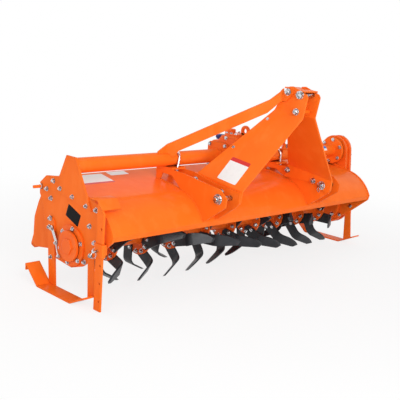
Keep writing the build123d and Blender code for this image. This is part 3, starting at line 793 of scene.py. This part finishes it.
# U bolts: two legs and a half circle over the tube, the left one leaning along it at its top
clamp_x, clamp_r, clamp_leg = 435, 45, 66
over = np.linspace(math.pi, 0, 25)
clamp_y = np.concatenate([[-clamp_r] * 2, clamp_r * np.cos(over), [clamp_r] * 2])
clamp_z = np.concatenate([[-clamp_leg, -30], clamp_r * np.sin(over), [-30, -clamp_leg]])
u_bolts = []
clamp_parts = []
for side, lean in ((-1, 24), (1, 0)):
    leaning_x = side * clamp_x + lean * (clamp_z + clamp_leg) / (clamp_r + clamp_leg)
    path = at(leaning_x, tube_y + clamp_y, tube_z[side] + clamp_z)
    u_bolts.append(capped(sweep(path, ring(np.full(len(path), 6.0), 12))))
    saddle_low = tube_z[side] - tube_r - 10
    legs = at(side * clamp_x, tube_y + np.array([-clamp_r, clamp_r]), saddle_low)
    clamp_parts.append(stamp(nut(12), legs, DOWN, spins(2)))
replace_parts(piece("tube_u_bolts", u_bolts, plain_zinc), "tube_clamps")
brace_foot_nut = at([526], -13, tube_z[1] + tube_r + 15)
clamp_parts.append(stamp(nut(11), brace_foot_nut, FRONT))
piece("tube_clamp_nuts", clamp_parts)

# Blade bolts: two through each foot, the head on the blade and the nut on the bare flange face
flange_count, blade_count = 9, 6
flange_pitch, flange_face, blade_face = 215, 5, 13
bolt_r = 88
flange_x = flange_pitch * (np.arange(flange_count)[:, None] - 4)
places = np.arange(blade_count)
foot_turn = 63.5 + 60 * places + 12.5 * np.arange(flange_count)[:, None]
hand = np.where(places % 2 == 0, 1, -1) * np.ones((flange_count, 1))
middle_x = flange_x * np.ones((1, blade_count))
blade_heads = []
for shift in (-15, 15):
    turn = np.radians(foot_turn + shift)
    y = bolt_r * np.cos(turn)
    z = bolt_r * np.sin(turn)
    for face in (-1, 1):
        chosen = hand == -face
        spots = at(middle_x[chosen] + face * blade_face, y[chosen], z[chosen])
        blade_heads.append(stamp(head(9.5), spots, RIGHT * face, spins(len(spots))))
        chosen = hand == face
        spots = at(middle_x[chosen] + face * flange_face, y[chosen], z[chosen])
        blade_heads.append(stamp(nut(9.5), spots, RIGHT * face, spins(len(spots))))
piece("blade_bolts", blade_heads, body="rotor")

# ---------------- weld beads


def bead(path, radius=3.6, pitch=4.5):
    """A weld bead: a seven-sided section along a path, its radius rippling as a rectified sine."""
    path = np.asarray(path, float)
    run = np.concatenate([[0], np.cumsum(np.linalg.norm(np.diff(path, axis=0), axis=1))]) * 1000
    count = max(int(run[-1] / pitch * 3), 8)
    steps = np.linspace(0, run[-1], count)
    fine = np.stack([np.interp(steps, run, path[:, k]) for k in range(3)], axis=-1)
    swell = radius * (0.86 + 0.2 * np.abs(np.sin(steps * math.pi / pitch)))
    swell[0] = swell[-1] = radius * 0.5
    return capped(sweep(fine, ring(swell, 7)))


# The hood's skin: a round nose and a deck that leaves it at a tangent and rises to the back
nose_y, nose_z, nose_r = -100, 23, 232
deck_slope = math.radians(9)
proud = 1


def deck_z(y):
    """Height of the deck's upper face: the tangent of the nose's circle that has the deck's slope."""
    return nose_z + nose_r / math.cos(deck_slope) + (y - nose_y) * math.tan(deck_slope)


nose_turn = np.radians(np.linspace(99, 154, 24))
hood_line = np.concatenate(
    [
        [(y, deck_z(y) + proud) for y in (62, -120)],
        arc(nose_turn, nose_r + proud, (nose_y, nose_z)),
    ]
)
plate_beads = [
    bead(at(side * x, hood_line[:, 0], hood_line[:, 1]))
    for side in (-1, 1)
    for face in (hitch_in, hitch_out + plate_t)
    for x in (face - plate_t - 1.5, face + 1.5)
]
piece("hitch_plate_welds", plate_beads, orange, crease=60.0)


def hoop(x, centre, radius, swell=3.4, count=90):
    """A bead round a tube: a circle in a plane across the machine, its section's radius rippling."""
    turn = turns(count)
    path = at(x, *arc(turn, radius, centre).T)
    ripple = swell * (0.86 + 0.2 * np.abs(np.sin(turn * 30)))
    return sweep(path, ring(ripple, 7), closed=True)


seam = flange_face + 1
rotor_hoops = [hoop(x + face * seam, (0, 0), 45.5, 4.2) for x in flange_x[:, 0] for face in (-1, 1)]
piece("flange_welds", rotor_hoops, orange, body="rotor", crease=60.0, loop=True)
tube_hoops = [
    hoop(x, (tube_y, tube_z[side]), tube_r + 0.5)
    for side, x in ((-1, -flange_out - 0.5), (1, flange_out + 0.5), (1, disc_in - 1), (-1, 1 - tube_end))
]
piece("tube_welds", tube_hoops, orange, crease=60.0, loop=True)

# ---------------- labels and plates


def sheet_label(name, place, wide, tall, finish, corner=5.0, thick=0.5):
    """A thin closed sheet with rounded corners: two grids over (-1, 1) that share their rim.

    Past the corner's square a point's offset is scaled by the larger part over its length, which
    turns the square corner into an arc. place() maps across, up and out to the frame."""
    count = 17
    u = np.linspace(-1, 1, count)
    across, up = np.meshgrid(u * wide / 2, u * tall / 2, indexing="ij")
    over_x = np.maximum(np.abs(across) - (wide / 2 - corner), 0)
    over_y = np.maximum(np.abs(up) - (tall / 2 - corner), 0)
    length = np.maximum(np.hypot(over_x, over_y), 1e-9)
    pull = np.maximum(over_x, over_y) / length
    across = np.sign(across) * (np.abs(across) - over_x + over_x * pull)
    up = np.sign(up) * (np.abs(up) - over_y + over_y * pull)
    rim = np.zeros(across.shape, bool)
    rim[[0, -1], :] = True
    rim[:, [0, -1]] = True
    top = place(across, up, np.where(rim, 0.1, thick))
    low = place(across, up, np.where(rim, 0.1, -0.4))
    index = np.arange(count * count).reshape(count, count)
    corners = np.stack([index[:-1, :-1], index[1:, :-1], index[1:, 1:], index[:-1, 1:]], axis=-1)
    quads = corners.reshape(-1, 4)
    points = np.concatenate([top, low]).reshape(-1, 3)
    return add_mesh(name, points, np.concatenate([quads, quads[:, ::-1] + index.size]), finish)


def flat_place(middle, across, up):
    """Place on a plane: the middle plus across and up along their directions, out along their cross."""
    out = np.cross(across, up)

    def place(a, b, h):
        return middle + (a[..., None] * across + b[..., None] * up + h[..., None] * out) / 1000

    return place


white = (0.82, 0.82, 0.80)
red = (0.62, 0.025, 0.02)

# The left mast plate folds at a line on its foot, then leans in by 329 for each 375 that it rises
fold = math.radians(7.5)
slope_in, slope_rise, fold_rise = 329, 375, 358
slope_back = np.array([0, math.cos(fold), math.sin(fold)])
fold_up = np.array([0, -math.sin(fold), math.cos(fold)])
slope_up = (slope_in * RIGHT + slope_rise * fold_up) / math.hypot(slope_in, slope_rise)
slope_foot = at(plate_t - hitch_in, 0, 0) + fold_rise * fold_up / 1000
label_middle = slope_foot + (88 * slope_up - 302 * slope_back) / 1000
label_place = flat_place(label_middle, -slope_back, slope_up)
label_finish = film("mast_label_film", label_middle, slope_up, 0.142, white, red, 0.84)
sheet_label("mast_label", label_place, 131, 142, label_finish)

# Two small bolts through each mast plate's slope, so far up from the fold and so far to the front
bolts_up, bolts_front = [435, 212], [268, 198]
slope_out = np.cross(-slope_back, slope_up)
mast_spots = slope_foot + (np.outer(bolts_up, slope_up) - np.outer(bolts_front, slope_back)) / 1000
mirror = np.array([-1.0, 1.0, 1.0])
slope_bolts = [stamp(head(7), mast_spots * flip, slope_out * flip) for flip in (1.0, mirror)]
piece("mast_slope_bolts", slope_bolts)

deck_back = np.array([0, math.cos(deck_slope), math.sin(deck_slope)])
deck_middle = at(-878, 120, deck_z(120))
deck_finish = film("deck_label_film", deck_middle, -deck_back, 0.13, white, red, 0.86)
sheet_label("deck_label", flat_place(deck_middle, RIGHT, deck_back), 226, 130, deck_finish)
small_middle = at(-665, 172, deck_z(172))
small_finish = film("small_label_film", small_middle, deck_back, 0.05, white, white, 0.9)
sheet_label("small_label", flat_place(small_middle, RIGHT, deck_back), 120, 50, small_finish)

plate_turn = math.radians(20)
plate_across = np.array([0, -math.cos(plate_turn), -math.sin(plate_turn)])
plate_up = np.array([0, -math.sin(plate_turn), math.cos(plate_turn)])
name_middle = at(-plate_out, 0, 151)
enamel = (0.006, 0.0065, 0.007)
name_place = flat_place(name_middle, plate_across, plate_up)
name_finish = film("name_plate_black", name_middle, plate_up, 0.066, enamel, enamel, 0.9, 0.05)
sheet_label("name_plate", name_place, 110, 66, name_finish, 3.0, 1.2)

sticker_r = tube_r + 0.1
sticker_x = 900
sticker_turn = math.radians(140)


def tube_place(a, b, h):
    """Place on the drive tube: along it by a, round it by b over its radius, out by h."""
    turn = sticker_turn - b / sticker_r
    radius = sticker_r + h
    return at(sticker_x + a, tube_y + radius * np.cos(turn), tube_z[1] + radius * np.sin(turn))


sticker_middle = tube_place(0, 0, tube_r - sticker_r)
band_blue = (0.02, 0.16, 0.5)
sticker_finish = film("tube_sticker_film", sticker_middle, UP, 0.034, white, band_blue, 0.42)
sheet_label("tube_sticker", tube_place, 66, 36, sticker_finish, 4.0)

# ---------------- small parts of the frame


def bar(name, start, end, wide, thick, out, finish):
    """A flat bar with round ends: a stadium outline carried from face to face and bevelled.

    The outline is two half circles joined by straight runs; its rows step in by the bevel."""
    start = np.asarray(start, float)
    end = np.asarray(end, float)
    along = (end - start) / np.linalg.norm(end - start)
    across = np.cross(out, along)
    turn = np.linspace(-math.pi / 2, math.pi / 2, 9)
    ends = [(end, 1), (start, -1)]
    rows = []
    for height, radius in ((0, 0.92), (0.12, 1.0), (0.88, 1.0), (1, 0.92)):
        outline = [
            point
            + sign * wide / 2000 * radius * (np.cos(turn)[:, None] * along + np.sin(turn)[:, None] * across)
            for point, sign in ends
        ]
        rows.append(np.concatenate(outline) + out * thick * height / 1000)
    return piece(name, [capped(np.stack(rows)[None])], finish)


strap_t = 4
strap_x = -upright_out - strap_t
strap_ends = at(strap_x, [158, 112], [56, -14])
bar("depth_strap", *strap_ends, 20, strap_t, LEFT, plain_zinc)
rod = np.array([at(strap_x - 6, 112, -14), at(strap_x - 6, 104, -40), at(strap_x - 5, 92, -76)])
piece("depth_rod", [capped(sweep(rod, ring(4.0, 10)))], plain_zinc)
rod_nut = lathe([(8.2, 0), (13, 0), (13, 9), (12, 10), (8.2, 10)], 24, (1, 2))
hinge_y, hinge_z = centre_of("hinge_rod", 1), centre_of("hinge_rod", 2)
piece(
    "depth_nuts",
    [
        fasten(nut(9), strap_x - strap_t, [(156, 52), (113, -12)], LEFT),
        fasten(nut(8), strap_x - 2, [(92, -76)], LEFT),
        stamp(rod_nut, at([-plate_out], hinge_y, hinge_z), LEFT),
        stamp(rod_nut, at([plate_out], hinge_y, hinge_z), RIGHT),
    ],
)

# Parking stand: a drilled flat leg under a bent foot plate, in a socket welded to a packing piece


def drilled_bar(x, corners, holes, radius):
    """A flat bar between two planes x, with a round hole in each of its cells.

    A cell's border runs straight between its four corners of (y, z) in six steps a side, and each
    point of it has its partner on the hole's circle in the same direction from the hole's middle."""
    t = np.arange(6)[:, None] / 6
    ahead = np.roll(corners, -1, axis=1)
    sides = corners[:, :, None] * (1 - t) + ahead[:, :, None] * t
    border = sides.reshape(len(corners), -1, 2)
    away = border - holes[:, None]
    hole = holes[:, None] + radius * away / np.linalg.norm(away, axis=2, keepdims=True)
    cell_rows = [(x[0], border), (x[0], hole), (x[1], hole), (x[1], border)]
    cells = np.stack([at(face, part[..., 0], part[..., 1]) for face, part in cell_rows], axis=1)
    up, down = sides[:, 0].reshape(-1, 2), sides[::-1, 2].reshape(-1, 2)
    rim = np.concatenate([up, sides[-1, 1], down, sides[0, 3]])
    return [cells, np.stack([at(face, rim[:, 0], rim[:, 1]) for face in x])[None]]


leg_out = drawn("stand", 0, 0)
leg_foot = drawn("stand", 0, 2)
sleeve_gap = 0.6
sleeve_in = sleeve_gap + 6
leg_front = drawn("stand_socket", 0, 1) + sleeve_in
leg_wide, leg_thick, leg_long = 50, 9, 514
leg_back = leg_front + leg_wide
hole_count, hole_pitch = 5, 86
hole_z = leg_foot + 50 + hole_pitch * np.arange(hole_count)
seams = np.concatenate([[leg_foot], (hole_z[:-1] + hole_z[1:]) / 2, [leg_foot + leg_long]])
leg_corners = np.empty((hole_count, 4, 2))
leg_corners[:, [0, 1], 0] = leg_back
leg_corners[:, [2, 3], 0] = leg_front
leg_corners[:, [0, 3], 1] = seams[:-1, None]
leg_corners[:, [1, 2], 1] = seams[1:, None]
leg_slant = 46
leg_corners[-1, 2, 1] -= leg_slant
hole_places = np.stack([np.full(hole_count, leg_front + 13), hole_z], axis=-1)
half_foot = (drawn("stand", 1, 0) - leg_out) / 2
foot_y = leg_back + 4 + np.array([50, 6, 1.5, -2, -40])
foot_z = leg_foot + 522 - np.array([0, 0, 1.2, 4, 41.5])
foot_path = at(leg_out + half_foot, foot_y, foot_z)
foot_outline = rectangle((-3, -half_foot), (3, half_foot), 2, 3)
stand_grids = drilled_bar((leg_out, leg_out + leg_thick), leg_corners, hole_places, 6)
stand_grids.append(capped(sweep(foot_path, foot_outline)))
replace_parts(piece("parking_stand", stand_grids, orange, body="stand"), "stand")

socket_out = drawn("stand_socket", 0, 0)
socket_low, socket_high = drawn("stand_socket", 0, 2), drawn("stand_socket", 1, 2)
socket_in = leg_out + leg_thick + 7
inner_low = (leg_out - sleeve_gap, leg_front - sleeve_gap)
inner_high = (leg_out + leg_thick + sleeve_gap, leg_back + sleeve_gap)
walls = [
    rectangle((socket_out, leg_front - sleeve_in), (socket_in, leg_back + sleeve_in), 4, 3),
    rectangle(inner_low, inner_high, 1, 3),
]
socket_rows = [(0, socket_low), (0, socket_high), (1, socket_high), (1, socket_low)]
sleeve = np.stack([at(walls[wall][:, 0], walls[wall][:, 1], z) for wall, z in socket_rows])[None]
packing = rectangle((leg_front + 6, 20), (leg_back - 6, 70), 4, 3)
packing_rows = [(socket_in - 1, 0), (-plate_out + 0.5, 0)]
socket_grids = [joined(sleeve), slab(packing, packing_rows)]
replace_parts(piece("stand_sleeve", socket_grids, orange), "stand_socket")

# The stand's pin, and the rings of the linch pins
pin = lathe([(0, 0), (6, 0), (6, 24), (8, 26), (8, 31), (0, 33)], 16)
piece("stand_pin", [stamp(pin, at([socket_out], -258, 44), LEFT)])


def torus(centre, normal, radius, wire, count=24):
    """A wire ring: a circle of the wire's section carried round a circle square to the normal."""
    turn = turns(count)
    side, other, _ = basis(normal)
    path = centre + radius / 1000 * (np.cos(turn)[:, None] * side + np.sin(turn)[:, None] * other)
    return sweep(path, ring(np.full(count, wire), 8), closed=True)


rings = [
    torus(at(socket_out - 27, -262, 28), BACK, 15, 2.0),
    torus(at(-352, hitch_y, hitch_z - 16), BACK * 0.6 + RIGHT * 0.8, 20, 2.4),
    torus(at(352, hitch_y, hitch_z - 16), BACK * 0.6 - RIGHT * 0.8, 20, 2.4),
    torus(at(72, link_y, link_z - 15), BACK * 0.8 + RIGHT * 0.6, 18, 2.2),
]
piece("linch_rings", rings, loop=True)

# ---------------- floor, light and camera


def make_floor():
    """A plain pale floor that keeps the shadow and turns to the backdrop's white further out."""
    f = Finish(bpy.data.materials.new("studio_floor"))
    length = f.node("ShaderNodeVectorMath", {"operation": "LENGTH"}, {0: f.place}, "Value")
    share = f.seen() * (0.8 + f.step(length, 1.3, 3.2) * 0.2)
    pale = f.node("ShaderNodeBsdfDiffuse", inputs={"Color": (0.86, 0.86, 0.86, 1.0)}, output="BSDF")
    glow = f.node("ShaderNodeEmission", inputs={"Color": (1, 1, 1, 1), "Strength": 1.0})
    f.end(f.node("ShaderNodeMixShader", inputs={0: share, 1: pale, 2: glow}))
    mesh = bpy.data.meshes.new("studio_floor")
    mesh.from_pydata([(-40, -40, 0), (40, -40, 0), (40, 40, 0), (-40, 40, 0)], [], [(0, 1, 2, 3)])
    mesh.materials.append(f.owner)
    in_scene("studio_floor", mesh)


def make_world():
    """A white backdrop for camera, glossy and transmission rays, and an even dimmer light."""
    world = bpy.data.worlds.new("studio")
    bpy.context.scene.world = world
    f = Finish(world, "ShaderNodeOutputWorld")
    even, backdrop = [
        f.node("ShaderNodeBackground", inputs={"Color": (1, 1, 1, 1), "Strength": strength})
        for strength in (0.5, 1.0)
    ]
    f.end(f.node("ShaderNodeMixShader", inputs={0: f.seen(), 1: even, 2: backdrop}))


def soft_light(name, place, aim, size, power):
    """A square soft box at a place, turned to face its aim."""
    data = bpy.data.lights.new(name, "AREA")
    data.shape = "SQUARE"
    data.size = size
    data.energy = power
    away = (Vector(place) - Vector(aim)).normalized()
    made = in_scene(name, data)
    made.matrix_world = Matrix.Translation(place) @ away.to_track_quat("Z", "Y").to_matrix().to_4x4()


def make_camera():
    """A long lens looking along the machine's left front quarter, a little from above, rolled to suit."""
    data = bpy.data.cameras.new("studio_camera")
    data.lens = 64.6
    data.sensor_width = 36.0
    made = in_scene("studio_camera", data)
    bpy.context.scene.camera = made
    aim = Vector((-0.2003, 0.081, 0.392))
    distance = 4.061
    turn = math.radians(-45.3)
    lift = math.radians(11.85)
    roll = math.radians(4.2)
    back = Vector((math.sin(turn) * math.cos(lift), -math.cos(turn) * math.cos(lift), math.sin(lift)))
    right = Vector((math.cos(turn), math.sin(turn), 0))
    up = back.cross(right)
    across = right * math.cos(roll) + up * math.sin(roll)
    above = up * math.cos(roll) - right * math.sin(roll)
    place = Matrix((across, above, back)).transposed().to_4x4()
    place.translation = aim + back * distance
    made.matrix_world = place


make_floor()
make_world()
make_camera()

# Name, place, aim, side in metres and power in watts of each soft box
for light in (
    ("front_box", (-1.9, -4.3, 2.2), (-0.3, 0.0, 0.4), 2.8, 148.0),
    ("corner_box", (-4.3, -1.8, 1.9), (-0.6, 0.0, 0.4), 2.4, 34.0),
    ("right_box", (4.8, -0.4, 1.8), (0.4, 0.1, 0.4), 2.4, 16.0),
    ("back_box", (-2.0, 4.6, 1.7), (0.0, 0.2, 0.4), 2.6, 75.0),
    ("top_box", (0.2, 0.3, 4.2), (0.0, 0.1, 0.3), 2.6, 13.0),
):
    soft_light(*light)

bpy.context.scene.view_settings.view_transform = "Standard"
